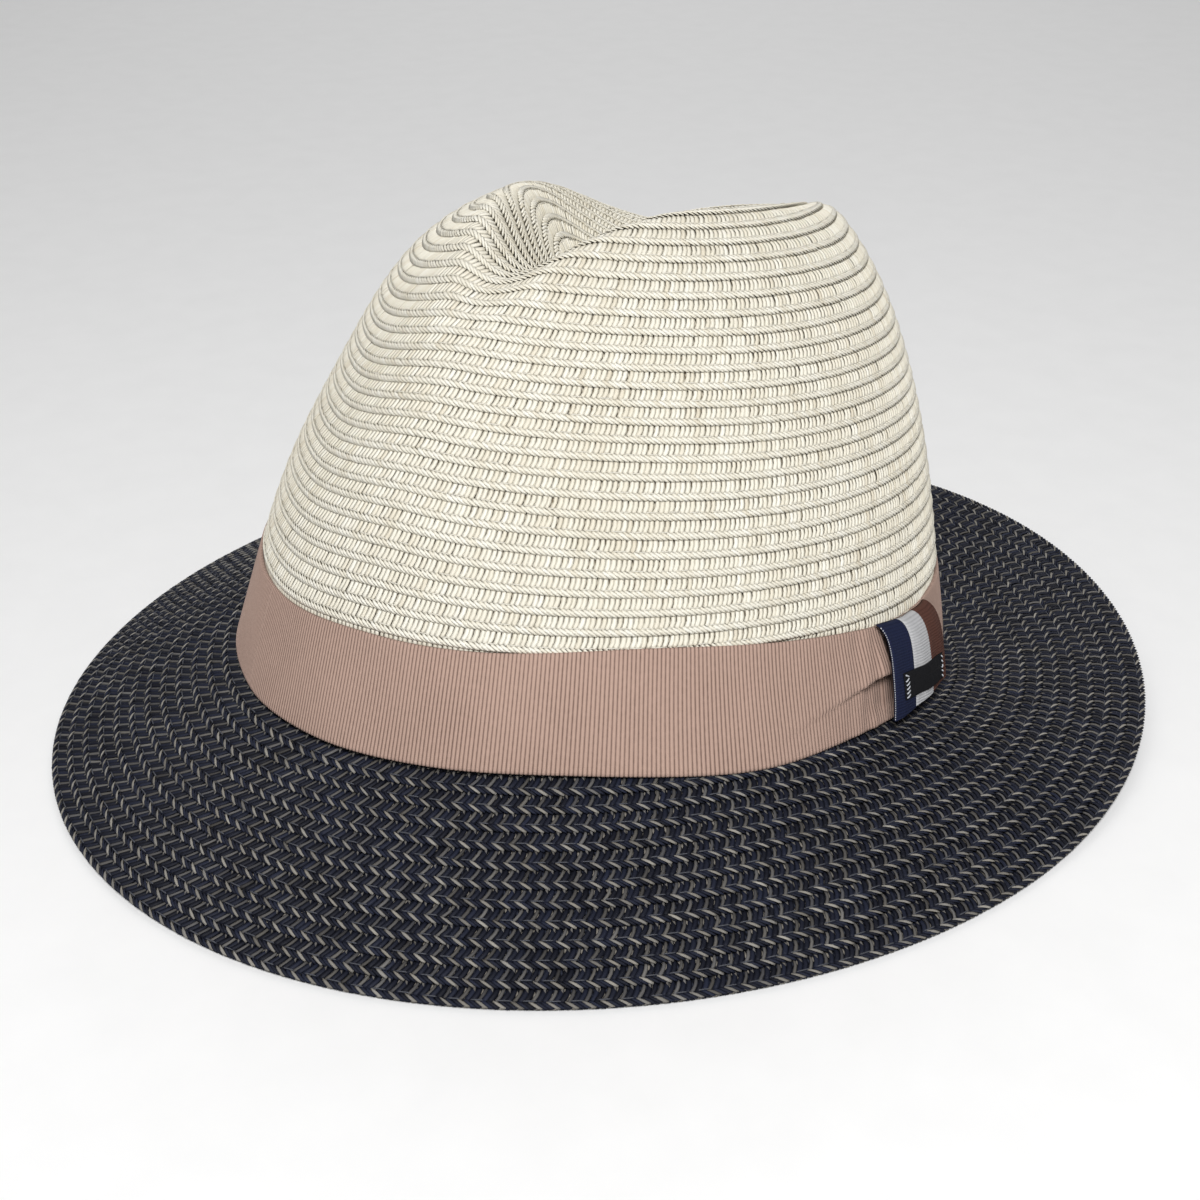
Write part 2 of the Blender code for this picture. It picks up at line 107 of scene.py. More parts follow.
def crown_surface(phi, v):
    """Outer face of the crown; phi 0 at the front, growing round the wearer's left."""
    h = np.interp(v, PROFILE_V, PROFILE_H)
    t = h / CROWN_HEIGHT
    x = HEAD_HALF_WIDTH * np.interp(v, PROFILE_V, PROFILE_X) * np.sin(phi) + CROWN_LEAN_X * t + HEAD_MID_X
    y = -HEAD_HALF_LENGTH * np.interp(v, PROFILE_V, PROFILE_Y) * np.cos(phi) + CROWN_LEAN_Y * t + HEAD_MID_Y
    z = h - BREAK_SADDLE * np.cos(2 * phi) * (1 - ease(h / SADDLE_FADE))
    c, s = cos(radians(DENT_TURN)), sin(radians(DENT_TURN))
    across, along = x * c + y * s, -x * s + y * c
    share = (along - DENT_MID) / DENT_HALF_LENGTH
    widen = ease((share + 1) / 2 * DENT_WIDENS)
    half = DENT_HALF_WIDTH_FRONT + (DENT_HALF_WIDTH_BACK - DENT_HALF_WIDTH_FRONT) * widen
    inside = ease((1 - np.hypot(across / half, share)) / DENT_SLOPE)
    z = z - DENT_DEPTH * inside * ease((t - DENT_START) / (1 - DENT_START) * DENT_SETS_IN)
    z = z - RIDGE_DROP * ease((RIDGE_FROM - across) / RIDGE_OVER) * t
    for side in (1, -1):
        apart = (across - side * PINCH_ACROSS) ** 2 + (along - PINCH_ALONG) ** 2
        e = np.exp(-apart / PINCH_SPREAD_SQUARED - ((h - PINCH_HEIGHT) / PINCH_TALL) ** 2 / 2)
        across = across - side * PINCH * PINCH_IN * e
        along = along + PINCH * PINCH_BACK * e
    return rake(across * c - along * s, across * s + along * c, z)


def surface_normal(surface, phi, v):
    d = 1e-3
    du = surface(phi + d, v) - surface(phi - d, v)
    lo, hi = np.maximum(v - d, 0.0), np.minimum(v + d, 1.0)
    n = np.cross(du, surface(phi, hi) - surface(phi, lo))
    return n / np.maximum(np.linalg.norm(n, axis=-1, keepdims=True), 1e-12)


def break_ring(phi):
    return rake(HEAD_HALF_WIDTH * np.sin(phi) + HEAD_MID_X, -HEAD_HALF_LENGTH * np.cos(phi) + HEAD_MID_Y,
                -BREAK_SADDLE * np.cos(2 * phi))


def oval_out(phi, half_width, half_length):
    n = np.stack([half_length * np.sin(phi), -half_width * np.cos(phi), 0 * phi], -1)
    return n / np.linalg.norm(n, axis=-1, keepdims=True)


def edge_ring(phi):
    oval = rake(BRIM_OVAL_HALF_WIDTH * np.sin(phi), -BRIM_OVAL_HALF_LENGTH * np.cos(phi),
                -BREAK_SADDLE * np.cos(2 * phi))
    oval[..., 2] += BRIM_OVAL_HEIGHT - BREAK_HEIGHT
    edge_z = -EDGE_FRONT_DIP * np.cos(phi) + EDGE_SADDLE * np.cos(2 * phi) + EDGE_THIRD * np.cos(3 * phi)
    edge_z = np.maximum(edge_z, EDGE_REST)
    reach = np.sqrt(BRIM_WIDTH ** 2 - (edge_z - oval[..., 2]) ** 2)
    p = oval + oval_out(phi, BRIM_OVAL_HALF_WIDTH, BRIM_OVAL_HALF_LENGTH) * reach[..., None]
    p[..., 2] = edge_z
    return p


def brim_surface(phi, u):
    """Upper face of the brim; u 0 at the break, 1 at the edge, a little below 0 under the crown."""
    base, edge = break_ring(phi), edge_ring(phi)
    level = oval_out(phi, HEAD_HALF_WIDTH, HEAD_HALF_LENGTH) * BRIM_WIDTH
    level[..., 2] = -np.tan(radians(CROWN_RAKE)) * level[..., 1]
    u = np.asarray(u)[..., None]
    return base + np.where(u > 0, (edge - base) * u, level * u)


def brim_inward(phi, b):
    """The brim run from its edge, b 0, to the break, b 1, so that it is read outwards-up like the crown."""
    return brim_surface(phi, 1.0 - b)


def around(phi, angle, spread):
    """A soft rise and fall round the crown, 1 at an angle and all but gone at twice its spread."""
    away = (phi - radians(angle) + pi) % (2 * pi) - pi
    return np.exp(-(away / radians(spread)) ** 2)


def on_band(phi, share_up, out, top):
    """A point of the ribbon or its loop: share_up its height and out from the crown, splayed at the foot."""
    v = share_at(BAND_BOTTOM + (top - BAND_BOTTOM) * share_up)
    foot = (1 - share_up) ** 2
    splay = FLARE * around(phi, FLARE_ANGLE, FLARE_SPREAD) * foot
    p = crown_surface(phi, v) + surface_normal(crown_surface, phi, v) * out[..., None]
    p = p + oval_out(phi, HEAD_HALF_WIDTH, HEAD_HALF_LENGTH) * splay[..., None]
    p[..., 2] -= FLARE_SLOPE * splay
    return p


def band_top(phi):
    rise = BAND_RISE * around(phi, BAND_RISE_ANGLE, BAND_RISE_SPREAD)
    return BAND_HEIGHT + rise - BAND_DIP * around(phi, LOOP_ANGLE, BAND_DIP_SPREAD)


def lap_edges():
    """Rim-to-tip positions of the crown's lap edges, closer together over the top."""
    v = np.linspace(0, 1, 1201)
    p = np.stack([crown_surface(np.full_like(v, a), v) for a in (0.5, 1.6, 2.7, 4.0, 5.2)])
    s = np.concatenate([[0], np.cumsum(np.linalg.norm(np.diff(p, axis=1), axis=-1).mean(0))])
    edges, at = [], 0.0
    while at < s[-1] - LAST_LAP:
        edges.append(np.interp(at, s, v))
        at += LAP_PITCH_LOW + (LAP_PITCH_TOP - LAP_PITCH_LOW) * min(1.0, at / LAP_NARROWS)
    return edges


_around = np.linspace(0, 2 * pi, 721)
_outline = edge_ring(_around)
_rest = brim_surface(_around, np.full_like(_around, EDGE_FOOT))
# moves the hat so that the brim's outline is centred and its edge rests on the floor
SIT = np.array([-(_outline[:, 0].max() + _outline[:, 0].min()) / 2,
                -(_outline[:, 1].max() + _outline[:, 1].min()) / 2,
                BRIM_THICK - PRESSED_FLAT - _rest[:, 2].min()])


# ---------------------------------------------------------------- mesh helpers
def make_mesh(name, verts, quads, material, tone=None, fleck=None, uv=None, ngons=None):
    """One object from numpy arrays: verts (n, 3) in mm, quads (m, 4) and ngons (k, s).

    uv, tone and fleck have one entry for each vertex.
    """
    verts = (np.asarray(verts, float) + SIT) * MM
    verts[:, 2] = np.maximum(verts[:, 2], FLOOR_GAP)
    loops = [quads.ravel()]
    totals = [np.full(len(quads), 4)]
    if ngons is not None and len(ngons):
        loops.append(ngons.ravel())
        totals.append(np.full(len(ngons), ngons.shape[1]))
    loops, totals = np.concatenate(loops).astype(np.int32), np.concatenate(totals).astype(np.int32)
    mesh = bpy.data.meshes.new(name)
    mesh.vertices.add(len(verts))
    mesh.vertices.foreach_set("co", verts.astype(np.float32).ravel())
    mesh.loops.add(len(loops))
    mesh.loops.foreach_set("vertex_index", loops)
    mesh.polygons.add(len(totals))
    starts = np.concatenate([[0], np.cumsum(totals)[:-1]]).astype(np.int32)
    mesh.polygons.foreach_set("loop_start", starts)
    mesh.polygons.foreach_set("use_smooth", np.ones(len(totals), bool))
    mesh.update(calc_edges=True)
    for key, values in (("tone", tone), ("fleck", fleck)):
        if values is not None:
            data = mesh.attributes.new(key, "FLOAT", "POINT").data
            data.foreach_set("value", np.asarray(values, np.float32).ravel())
    if uv is not None:
        layer = mesh.uv_layers.new(name="along")
        layer.data.foreach_set("uv", np.asarray(uv, np.float32)[loops].ravel())
    mesh.materials.append(material)
    ob = bpy.data.objects.new(name, mesh)
    bpy.context.scene.collection.objects.link(ob)
    return ob


def grid_quads(rows, cols, wrap_cols=False, wrap_rows=False):
    """Quads of a grid of rows x cols points, row by row."""
    r = np.arange(rows if wrap_rows else rows - 1)
    c = np.arange(cols if wrap_cols else cols - 1)
    rr, cc = np.meshgrid(r, c, indexing="ij")
    r2, c2 = (rr + 1) % rows, (cc + 1) % cols
    return np.stack([rr * cols + cc, rr * cols + c2, r2 * cols + c2, r2 * cols + cc], -1).reshape(-1, 4)


class Strands:
    """Gathers many short closed tubes and turns them into objects of a limited size."""

    LIMIT = 190000             # triangles in one object
    SHIFT = 40.0               # mm; strands start at different places in the fibre pattern

    def __init__(self):
        self.parts = []

    def add(self, centre, up, half_w, half_h, sides, tone, fleck):
        """centre and up (n, k, 3); half_w and half_h (n, k); tone and fleck (n)."""
        n, k = centre.shape[:2]
        tangent = np.gradient(centre, axis=1)
        side = np.cross(tangent, up)
        side /= np.maximum(np.linalg.norm(side, axis=-1, keepdims=True), 1e-9)
        lift = np.cross(side, tangent)
        lift /= np.maximum(np.linalg.norm(lift, axis=-1, keepdims=True), 1e-9)
        a = np.arange(sides) * 2 * pi / sides + pi / 2
        verts = (centre[:, :, None, :] + side[:, :, None, :] * (half_w[:, :, None] * np.cos(a))[..., None]
                 + lift[:, :, None, :] * (half_h[:, :, None] * np.sin(a))[..., None])
        steps = np.linalg.norm(np.diff(centre, axis=1), axis=-1)
        length = np.concatenate([np.zeros((n, 1)), np.cumsum(steps, 1)], 1)
        shift = RNG.random(n) * self.SHIFT
        lengthwise = (length + shift[:, None])[:, :, None]
        crosswise = (np.sin(a) + 2 * np.cos(a))[None, None, :]
        uv = np.stack(np.broadcast_arrays(lengthwise, crosswise), -1)
        one = grid_quads(k, sides, wrap_cols=True)
        base = (np.arange(n) * k * sides)[:, None, None]
        quads = (one[None] + base).reshape(-1, 4)
        caps = np.stack([np.arange(sides)[::-1], (k - 1) * sides + np.arange(sides)])
        caps = (caps[None] + base).reshape(-1, sides)
        per = k * sides
        self.parts.append((verts.reshape(-1, 3), quads, caps, np.repeat(tone, per), np.repeat(fleck, per),
                           uv.reshape(-1, 2)))

    def build(self, name, material):
        """Makes the objects, each under the size limit."""
        made, group, size = [], [], 0
        for part in self.parts + [None]:
            extra = 0 if part is None else len(part[1]) * 2 + len(part[2]) * (part[2].shape[1] - 2)
            if group and (part is None or size + extra > self.LIMIT):
                verts, quads, caps = [], [], []
                at = 0
                for g in group:
                    verts.append(g[0])
                    quads.append(g[1] + at)
                    caps.append(g[2] + at)
                    at += len(g[0])
                tone, fleck, uv = (np.concatenate([g[i] for g in group]) for i in (3, 4, 5))
                verts, quads, caps = (np.concatenate(rows) for rows in (verts, quads, caps))
                made.append(make_mesh(f"{name}_{len(made) + 1}", verts, quads, material,
                                      tone, fleck, uv, caps))
                group, size = [], 0
            if part is not None:
                group.append(part)
                size += extra
        return made


# ---------------------------------------------------------------- procedural materials
class Nodes:
    """Short calls for building a node material."""

    def __init__(self, name):
        self.material = bpy.data.materials.new(name)
        self.material.use_nodes = True
        self.tree = self.material.node_tree
        self.shader = self.tree.nodes["Principled BSDF"]

    def add(self, kind, inputs=(), **settings):
        node = self.tree.nodes.new(kind)
        for key, value in settings.items():
            setattr(node, key, value)
        for key, value in dict(inputs).items():
            if isinstance(value, bpy.types.NodeSocket):
                self.tree.links.new(value, node.inputs[key])
            else:
                node.inputs[key].default_value = value
        return node

    def link(self, a, b):
        self.tree.links.new(a, b)

    def attribute(self, name):
        return self.add("ShaderNodeAttribute", attribute_name=name).outputs["Fac"]

    def uv(self):
        return self.add("ShaderNodeUVMap", uv_map="along").outputs["UV"]

    def place(self):
        return self.add("ShaderNodeTexCoord").outputs["Object"]

    def scaled(self, vector, scale):
        return self.add("ShaderNodeMapping", {"Vector": vector, "Scale": scale}).outputs["Vector"]

    def noise(self, vector, scale, detail=2.0, roughness=0.5):
        return self.add("ShaderNodeTexNoise", {"Vector": vector, "Scale": scale, "Detail": detail,
                                               "Roughness": roughness}).outputs["Fac"]

    def math(self, operation, a, b=0.0, c=0.0):
        return self.add("ShaderNodeMath", {0: a, 1: b, 2: c}, operation=operation).outputs[0]

    def uv_parts(self):
        return self.add("ShaderNodeSeparateXYZ", {"Vector": self.uv()}).outputs

    def fibre(self):
        """Long streaks that run along a strand."""
        return self.noise(self.scaled(self.uv(), (0.35, 5.0, 1.0)), 1.0, 3.0, 0.6)

    def swing(self, value, amount):
        """A value from 0 to 1 made to swing evenly about zero."""
        return self.math("MULTIPLY", self.math("SUBTRACT", value, 0.5), amount)

    def ribs(self, value, rate=pi):
        """Rounded ridges; at the usual rate there is one for each whole number of the value."""
        return self.math("ABSOLUTE", self.math("SINE", self.math("MULTIPLY", value, rate)))

    def ramp(self, fac, stops):
        node = self.add("ShaderNodeValToRGB", {"Fac": fac})
        elements = node.color_ramp.elements
        while len(elements) < len(stops):
            elements.new(0.5)
        for element, (at, colour) in zip(elements, stops):
            element.position = at
            element.color = (*colour, 1.0)
        return node.outputs["Color"]

    def mix(self, fac, a, b):
        """Two colours, each a socket or three numbers, mixed by a socket."""
        node = self.add("ShaderNodeMix", data_type="RGBA")
        for socket, value in ((node.inputs[0], fac), (node.inputs[6], a), (node.inputs[7], b)):
            if isinstance(value, bpy.types.NodeSocket):
                self.link(value, socket)
            else:
                socket.default_value = (*value, 1.0)
        return node.outputs[2]

    def finish(self, colour, roughness, height=None, strength=0.4, distance=0.0002, sheen=0.0, specular=0.5):
        self.link(colour, self.shader.inputs["Base Color"])
        if isinstance(roughness, bpy.types.NodeSocket):
            self.link(roughness, self.shader.inputs["Roughness"])
        else:
            self.shader.inputs["Roughness"].default_value = roughness
        self.shader.inputs["Specular IOR Level"].default_value = specular
        self.shader.inputs["Sheen Weight"].default_value = sheen
        self.shader.inputs["Sheen Roughness"].default_value = 0.6
        if height is not None:
            bump = self.add("ShaderNodeBump", {"Height": height, "Strength": strength, "Distance": distance})
            self.link(bump.outputs["Normal"], self.shader.inputs["Normal"])
        return self.material


def straw_light():
    """Paper straw strand: creased fibres along it, each strand a little different."""
    m = Nodes("straw_light")
    fibre = m.fibre()
    patch = m.noise(m.place(), 28.0, 2.0)
    tone = m.math("ADD", m.attribute("tone"), m.swing(fibre, 0.55))
    tone = m.math("ADD", tone, m.swing(patch, 0.35))
    colour = m.ramp(tone, [(0.0, (0.58, 0.50, 0.37)), (0.35, (0.76, 0.705, 0.575)),
                           (0.7, (0.84, 0.80, 0.685)), (1.0, (0.90, 0.87, 0.775))])
    rough = m.math("MULTIPLY_ADD", fibre, 0.25, 0.42)
    return m.finish(colour, rough, fibre, 0.5, 0.00015)


def straw_dark():
    """Navy-black strands, every third one light grey-beige."""
    m = Nodes("straw_dark")
    fibre = m.fibre()
    tone = m.math("ADD", m.attribute("tone"), m.swing(fibre, 0.5))
    dark = m.ramp(tone, [(0.0, (0.004, 0.004, 0.006)), (0.5, (0.009, 0.010, 0.017)),
                         (1.0, (0.018, 0.022, 0.042))])
    light = m.ramp(tone, [(0.0, (0.16, 0.145, 0.12)), (0.5, (0.33, 0.305, 0.26)), (1.0, (0.48, 0.455, 0.40))])
    colour = m.mix(m.attribute("fleck"), dark, light)
    rough = m.math("MULTIPLY_ADD", fibre, 0.25, 0.45)
    return m.finish(colour, rough, fibre, 0.5, 0.00015, specular=0.18)


def braid_back(name, deep, mid, high, fleck=None):
    """Underlying and reverse side of the braid, coloured with painted shade. uv is in strands along the lap
    and laps across it.
    """
    m = Nodes(name)
    uv = m.uv_parts()
    across = m.math("FRACT", uv["Y"])
    chevron = m.math("ABSOLUTE", m.math("SUBTRACT", across, 0.45))
    along = m.math("ADD", uv["X"], m.math("MULTIPLY", chevron, 1.6))
    wave = m.ribs(along)
    from_foot = m.math("MULTIPLY", across, 9.0)
    from_head = m.math("MULTIPLY", m.math("SUBTRACT", 1.0, across), 9.0)
    edge = m.math("SMOOTH_MIN", from_foot, from_head, 0.3)
    height = m.math("MULTIPLY", wave, m.math("MINIMUM", edge, 1.0))
    fibre = m.noise(m.place(), 900.0, 2.0)
    tone = m.math("ADD", height, m.swing(fibre, 0.4))
    # painted shade: the deep colour fills the valleys between the ridges and the lap's foot and head; only
    # the ridges reach the high colour
    colour = m.ramp(tone, [(0.0, deep), (0.55, mid), (1.0, high)])
    if fleck:
        third = m.math("LESS_THAN", m.math("FRACT", m.math("DIVIDE", along, 3.0)), 0.3)
        colour = m.mix(m.math("MULTIPLY", third, m.math("GREATER_THAN", height, 0.35)), colour, fleck)
    return m.finish(colour, 0.7, height, 0.8, 0.0006, specular=0.12)


def grosgrain(name, base, shade, contrast=0.45, sheen=0.0):
    """Ribbed ribbon, with painted shade in the grooves between the ribs and a painted highlight on their
    crests. uv x counts ribs.
    """
    m = Nodes(name)
    uv = m.uv_parts()
    rib = m.ribs(uv["X"])
    pick = m.ribs(uv["Y"])
    cloud = m.noise(m.place(), 45.0, 3.0)
    fuzz = m.noise(m.place(), 900.0, 2.0)
    tone = m.math("MULTIPLY_ADD", rib, contrast, 0.66 - 0.75 * contrast)
    tone = m.math("ADD", tone, m.swing(cloud, 0.35))
    tone = m.math("ADD", tone, m.swing(fuzz, 0.30))
    # painted light and shade: rib crests go towards the lighter high colour, the grooves between them towards
    # the shade colour
    high = tuple(min(1.0, 1.25 * c) for c in base)
    colour = m.ramp(tone, [(0.0, shade), (0.5, base), (1.0, high)])
    height = m.math("ADD", m.math("MULTIPLY", rib, 0.7), m.math("MULTIPLY", pick, 0.3))
    return m.finish(colour, 0.78, height, 0.5, 0.00012, sheen=sheen, specular=0.15)


def woven(name, deep, base):
    """Plain fine cloth: crossed threads and soft blotches."""
    m = Nodes(name)
    uv = m.uv_parts()
    warp = m.ribs(uv["X"])
    weft = m.ribs(uv["Y"])
    weave = m.math("MULTIPLY", m.math("ADD", warp, weft), 0.5)
    fuzz = m.noise(m.place(), 1400.0, 2.0)
    tone = m.math("ADD", m.math("MULTIPLY", weave, 0.7), m.math("MULTIPLY", fuzz, 0.4))
    return m.finish(m.ramp(tone, [(0.1, deep), (0.9, base)]), 0.8, weave, 0.5, 0.0001, specular=0.15)


def thread_material(name, deep, base, hole=(0.05, 0.035, 0.02)):
    """Twisted sewing thread; a tone of 0 gives it the painted shade of a needle hole. uv x runs along it in
    mm.
    """
    m = Nodes(name)
    uv = m.uv_parts()
    twist = m.ribs(m.math("ADD", uv["X"], uv["Y"]), 5.0)
    fuzz = m.noise(m.place(), 2000.0, 2.0)
    tone = m.math("ADD", m.math("MULTIPLY", twist, 0.6), m.math("MULTIPLY", fuzz, 0.5))
    is_thread = m.math("GREATER_THAN", m.attribute("tone"), 0.2)
    # painted shade: where the tone is 0 the thread takes the dark colour of a needle hole
    colour = m.mix(is_thread, hole, m.ramp(tone, [(0.1, deep), (0.9, base)]))
    return m.finish(colour, 0.6, twist, 0.5, 0.0001)


def floor_material():
    m = Nodes("floor_pale")
    speck = m.noise(m.place(), 60.0, 3.0)
    return m.finish(m.ramp(speck, [(0.3, (0.93, 0.93, 0.93)), (0.7, (0.95, 0.95, 0.95))]), 0.85)


# ---------------------------------------------------------------- the braid
STRAND_PITCH, BRIM_STRAND_PITCH = 1.28, 1.32
STRAND_SIDES, THREAD_SIDES = 5, 4
CROWN_BAR_LEAN, BRIM_BAR_LEAN = 0.35, 1.25     # how far a bar leans along the lap, foot to head
SEW_LENGTH = 5.6               # one stitch of the thread that sews the laps
STRANDS_UNDER_BAND = 5.5       # strands start this far below the ribbon's top
BRIM_SUNK, EDGE_SUNK = 0.1, 0.75               # the brim's laps, and the second roll of its doubled edge
BACK_DEPTH = 0.80              # the backing's face lies this far under the strands
BACK_STEP = 0.3                # its reverse is stepped by this at each lap
BRIM_BACK_START = 0.012        # share of the brim in from its edge where the backing starts
BRIM_BACK_UNDER = 2.6          # how far it runs in under the crown
# rings of a strand, foot to head: where they are as shares of the lap, half widths as shares of the pitch,
# and how far out the roll's rings stand in mm
BAR_AT, BAR_WIDTH = np.array([0.27, 0.40, 0.60, 0.82, 1.07]), np.array([0.48, 0.50, 0.48, 0.46, 0.42])
ROLL_AT, ROLL_OUT = np.array([-0.07, 0.0, 0.09, 0.18, 0.28]), np.array([0.16, 0.50, 0.70, 0.64, 0.34])
# the dark braid's rolls narrow upwards; the light braid's lie so close that they read as one cord
DARK_ROLL_WIDTH = np.array([0.25, 0.29, 0.28, 0.22, 0.15])
LIGHT_ROLL_WIDTH = np.array([0.31, 0.36, 0.37, 0.36, 0.30])


def braid_lap(strands, threads, surface, v0, v1, pitch, flecked, bar_lean, proud=0.0, edge_only=False):
    """One lap of braid, from its lower edge v0 to the next lap's edge v1.

    Near the upper lap the strands stand as steep bars; at the lower edge they turn over into a roll.
    """
    phi = np.linspace(0, 2 * pi, 1441)
    ring = surface(phi, np.full_like(phi, v0))
    run = np.concatenate([[0], np.cumsum(np.linalg.norm(np.diff(ring, axis=0), axis=-1))])
    count = max(6, int(round(run[-1] / pitch)))
    if flecked:
        count -= count % 3
    at = (np.arange(count) + RNG.random() + RNG.normal(0, 0.05, count)) * run[-1] / count
    fleck = ((np.arange(count) % 3) == 0).astype(float) if flecked else np.zeros(count)
    tone = np.clip(RNG.normal(0.62, 0.13, count), 0, 1)
    lean = RNG.normal(1.0, 0.12, count)
    lift = RNG.normal(0.0, 0.04, count)
    wide = RNG.normal(1.0, 0.07, count)

    def lay(along, b, out):
        """Points along the lap, a share b up it and out from the surface, with the surface's normal."""
        p = np.interp((along + run[-1]) % run[-1], run, phi)
        v = np.clip(v0 + (v1 - v0) * b, 0.0, 0.999)
        n = surface_normal(surface, p, v)
        return surface(p, v) + n * (out + proud)[..., None], n

    if not edge_only:
        t = (BAR_AT - BAR_AT[0]) / (BAR_AT[-1] - BAR_AT[0])
        sway = bar_lean * (t - 0.45) + 0.30 * np.sin(pi * t) - 0.28 * (1 - t) ** 3
        along = at[:, None] + lean[:, None] * sway
        drop = 1.20 if flecked else 0.82
        out = (0.34 - drop * t + 0.26 * np.sin(pi * t)) + lift[:, None]
        centre, up = lay(along, np.broadcast_to(BAR_AT, along.shape), out)
        thin = np.where(fleck > 0, 0.66, 1.0)
        half_w = (wide * thin)[:, None] * pitch * BAR_WIDTH
        # painted shade: on its sunk bars under the lap above the light strand is mixed in far more weakly
        # than on its proud roll
        shown = fleck * np.clip(RNG.normal(0.24, 0.06, count), 0.08, 0.4)
        strands.add(centre, up, half_w, np.full_like(half_w, 0.25), STRAND_SIDES, tone, shown)
        if flecked:
            # the light strand's other end shows as a small point under the lap above, its light mixed in
            # weakly as painted shade
            ends = fleck > 0
            b = np.array([0.74, 0.86, 1.02])
            along = at[ends][:, None] + 1.5 * pitch + np.array([0.22, 0.0, -0.18])
            out = np.array([-0.10, 0.10, -0.02]) + 0 * along
            centre, up = lay(along, np.broadcast_to(b, along.shape), out)
            half_w = np.array([0.05, 0.30, 0.42]) + 0 * along
            strands.add(centre, up, half_w, np.full_like(half_w, 0.14), STRAND_SIDES, tone[ends],
                        fleck[ends] * 0.32)
    t = np.linspace(0, 1, len(ROLL_AT))
    along = at[:, None] + (3.0 + 0.3 * (lean[:, None] - 1)) * (0.5 - t)
    out = ROLL_OUT + lift[:, None] * 0.4
    centre, up = lay(along, np.broadcast_to(ROLL_AT, along.shape), out)
    half_w = wide[:, None] * pitch * (DARK_ROLL_WIDTH if flecked else LIGHT_ROLL_WIDTH)
    thick = 0.18 if flecked else 0.10
    shown = fleck * np.clip(RNG.normal(0.58, 0.10, count), 0.3, 0.85)
    strands.add(centre, up, half_w, np.full_like(half_w, thick), STRAND_SIDES,
                np.clip(tone + 0.08, 0, 1), shown)
    if threads is None:
        return
    stitches = max(4, int(round(run[-1] / SEW_LENGTH)))
    start = (np.arange(stitches) + RNG.random()) * run[-1] / stitches + RNG.normal(0, 0.25, stitches)
    t = np.linspace(0, 1, 5)
    length = RNG.uniform(3.6, 4.5, stitches)[:, None]
    along = start[:, None] + t * length
    out = 0.44 + 0.14 * np.sin(pi * t) ** 0.5 + RNG.normal(0, 0.03, stitches)[:, None]
    out[:, 0] -= 0.40
    out[:, -1] -= 0.40
    level = 0.31 + RNG.normal(0, 0.010, stitches)[:, None] + 0 * t
    centre, up = lay(along, level, out)
    ones = np.ones_like(along)
    tone = np.clip(RNG.normal(0.75, 0.08, stitches), 0, 1)
    threads.add(centre, up, 0.17 * ones, 0.16 * ones, THREAD_SIDES, tone, np.zeros(stitches))
    # the needle's hole at the end of each stitch, drawn as a small dark lump; its tone of 0 gives it the
    # painted shade of the hole
    t = np.linspace(0, 1, 3)
    along = start[:, None] + length + 0.10 + t * RNG.uniform(0.5, 1.1, stitches)[:, None]
    centre, up = lay(along, 0.30 + 0 * along, 0.36 + 0 * along)
    ones = np.ones_like(along)
    threads.add(centre, up, np.array([0.05, 0.15, 0.05]) * ones, 0.12 * ones, THREAD_SIDES,
                np.zeros(stitches), np.zeros(stitches))


def shell(name, surface, levels, depth_in, material, columns, capped=False):
    """A closed shell just under the strands, one ring at each level, stepped at the laps on its reverse."""
    phi = np.linspace(0, 2 * pi, columns, endpoint=False)
    rows, uv = [], []
    rim = surface(np.append(phi, 2 * pi), np.full(columns + 1, levels[0]))
    length = np.linalg.norm(np.diff(rim, axis=0), axis=-1)
    run = np.concatenate([[0], np.cumsum(length)[:-1]]) / STRAND_PITCH
    turn = len(levels) - 1                      # the ring where the face ends and the reverse begins
    for k, v in enumerate(levels):
        vv = np.full_like(phi, v)
        rows.append(surface(phi, vv) - surface_normal(surface, phi, vv) * BACK_DEPTH)
        uv.append(np.stack([run, np.full_like(run, float(k))], -1))
    for k in range(turn, -1, -1):
        vv = np.full_like(phi, levels[k])
        n = surface_normal(surface, phi, vv)
        if 0 < k < turn:
            rows.append(surface(phi, vv) - n * (depth_in - BACK_STEP))
            uv.append(np.stack([run, np.full_like(run, k + 0.02)], -1))
        rows.append(surface(phi, vv) - n * depth_in)
        uv.append(np.stack([run, np.full_like(run, k - 0.02)], -1))
    verts, uv = np.concatenate(rows), np.concatenate(uv)
    if not capped:
        return make_mesh(name, verts, grid_quads(len(rows), columns, True, True), material, uv=uv)
    quads = grid_quads(len(rows), columns, True, False)
    quads = quads[(quads[:, 0] // columns) != turn]
    here = np.arange(columns)
    after = (here + 1) % columns
    tips, fans = [], []
    for ring, depth, flip in ((turn, BACK_DEPTH, False), (turn + 1, depth_in, True)):
        tips.append(surface(np.zeros(1), np.ones(1)) - np.array([[0.0, 0.0, depth]]))
        tip = np.full_like(here, len(verts) + len(tips) - 1)
        a, b = ring * columns + here, ring * columns + after
        fans.append(np.stack([b, a, tip] if flip else [a, b, tip], -1))
    # join the two lower rims
    last = (len(rows) - 1) * columns
    join = np.stack([last + here, last + after, after, here], -1)
    verts = np.concatenate([verts] + tips)
    uv = np.concatenate([uv, np.zeros((2, 2))])
    return make_mesh(name, verts, np.concatenate([quads, join]), material, uv=uv, ngons=np.concatenate(fans))


def crown_under_ribbon(phi, v):
    """The crown wall with its straw pressed in where the ribbon lies over it."""
    below = band_top(phi) - np.interp(v, PROFILE_V, PROFILE_H)
    pressed = 0.9 * ease((below + 0.3) / 1.5)
    return crown_surface(phi, v) - surface_normal(crown_surface, phi, v) * pressed[..., None]


